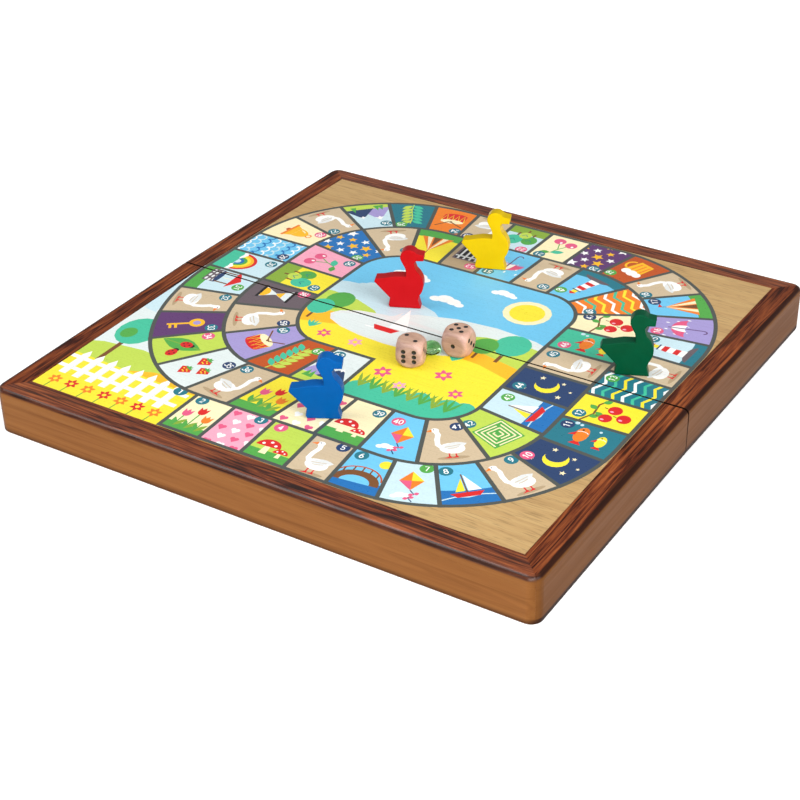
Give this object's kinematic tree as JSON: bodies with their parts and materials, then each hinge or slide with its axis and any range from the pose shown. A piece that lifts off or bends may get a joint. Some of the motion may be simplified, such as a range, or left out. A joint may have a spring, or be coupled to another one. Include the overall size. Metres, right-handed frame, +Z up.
{
  "type": "game of the goose board",
  "caption": "Hinged wooden game case lying open with its hollows down, a spiral goose-game track on its outer faces, and loose goose pawns, dice and a glass counter on top",
  "frame": {"origin": "middle of the open case on the surface it stands on, under the middle of the hinge line", "axes": "+X along the seam to the right, +Y from the front half to the rear half, +Z up"},
  "size_m": [0.35, 0.3506, 0.0702],
  "materials": {
    "wall_wood": "honey-brown stained and satin lacquered",
    "rail_wood": "dark rosewood look, gloss lacquer",
    "panel_wood": "pale birch plywood with a varnished colour print",
    "hinge_brass": "plain brass",
    "screw_brass": "plain brass, countersunk head",
    "pin_steel": "bright wire",
    "die_wood": "natural beech, black pips",
    "counter_glass": "clear green glass",
    "paint_red": "gloss red paint",
    "paint_yellow": "gloss yellow paint",
    "paint_green": "gloss green paint",
    "paint_blue": "gloss blue paint"
  },
  "bodies": {
    "front_half": {"front_outer_wall": "wall_wood", "front_left_wall": "wall_wood", "front_right_wall": "wall_wood", "front_hinge_wall": "wall_wood", "front_panel": "panel_wood", "front_outer_rail": "rail_wood", "front_left_rail": "rail_wood", "front_right_rail": "rail_wood", "hinge_left_leaf_front": "hinge_brass", "hinge_left_screw_front_1": "screw_brass", "hinge_left_screw_front_2": "screw_brass", "hinge_left_pin": "pin_steel", "hinge_right_leaf_front": "hinge_brass", "hinge_right_screw_front_1": "screw_brass", "hinge_right_screw_front_2": "screw_brass", "hinge_right_pin": "pin_steel"},
    "rear_half": {"rear_outer_wall": "wall_wood", "rear_left_wall": "wall_wood", "rear_right_wall": "wall_wood", "rear_hinge_wall": "wall_wood", "rear_panel": "panel_wood", "rear_outer_rail": "rail_wood", "rear_left_rail": "rail_wood", "rear_right_rail": "rail_wood", "hinge_left_leaf_rear": "hinge_brass", "hinge_left_screw_rear_1": "screw_brass", "hinge_left_screw_rear_2": "screw_brass", "hinge_right_leaf_rear": "hinge_brass", "hinge_right_screw_rear_1": "screw_brass", "hinge_right_screw_rear_2": "screw_brass"},
    "goose_red": {"goose_red": "paint_red"},
    "goose_yellow": {"goose_yellow": "paint_yellow"},
    "goose_green": {"goose_green": "paint_green"},
    "goose_blue": {"goose_blue": "paint_blue"},
    "die_left": {"die_left": "die_wood"},
    "die_right": {"die_right": "die_wood"},
    "glass_counter": {"glass_counter": "counter_glass"}
  },
  "joints": [
    {"name": "fold", "type": "hinge", "parent": "front_half", "child": "rear_half", "pos_m": [0, 0, 0.002], "axis": [-1, 0, 0], "range_deg": [-1.44, 178.56]},
    {"name": "goose_red_lift", "type": "slide", "parent": "rear_half", "child": "goose_red", "axis": [0, 0.0126, 0.9999], "range_m": [0, 0.1]},
    {"name": "goose_yellow_lift", "type": "slide", "parent": "rear_half", "child": "goose_yellow", "axis": [0, 0.0126, 0.9999], "range_m": [0, 0.1]},
    {"name": "goose_green_lift", "type": "slide", "parent": "rear_half", "child": "goose_green", "axis": [0, 0.0126, 0.9999], "range_m": [0, 0.1]},
    {"name": "goose_blue_lift", "type": "slide", "parent": "front_half", "child": "goose_blue", "axis": [0, -0.0126, 0.9999], "range_m": [0, 0.1]},
    {"name": "die_left_lift", "type": "slide", "parent": "front_half", "child": "die_left", "axis": [0, -0.0126, 0.9999], "range_m": [0, 0.1]},
    {"name": "die_right_lift", "type": "slide", "parent": "front_half", "child": "die_right", "axis": [0, -0.0126, 0.9999], "range_m": [0, 0.1]},
    {"name": "glass_counter_lift", "type": "slide", "parent": "front_half", "child": "glass_counter", "axis": [0, -0.0126, 0.9999], "range_m": [0, 0.1]}
  ]
}
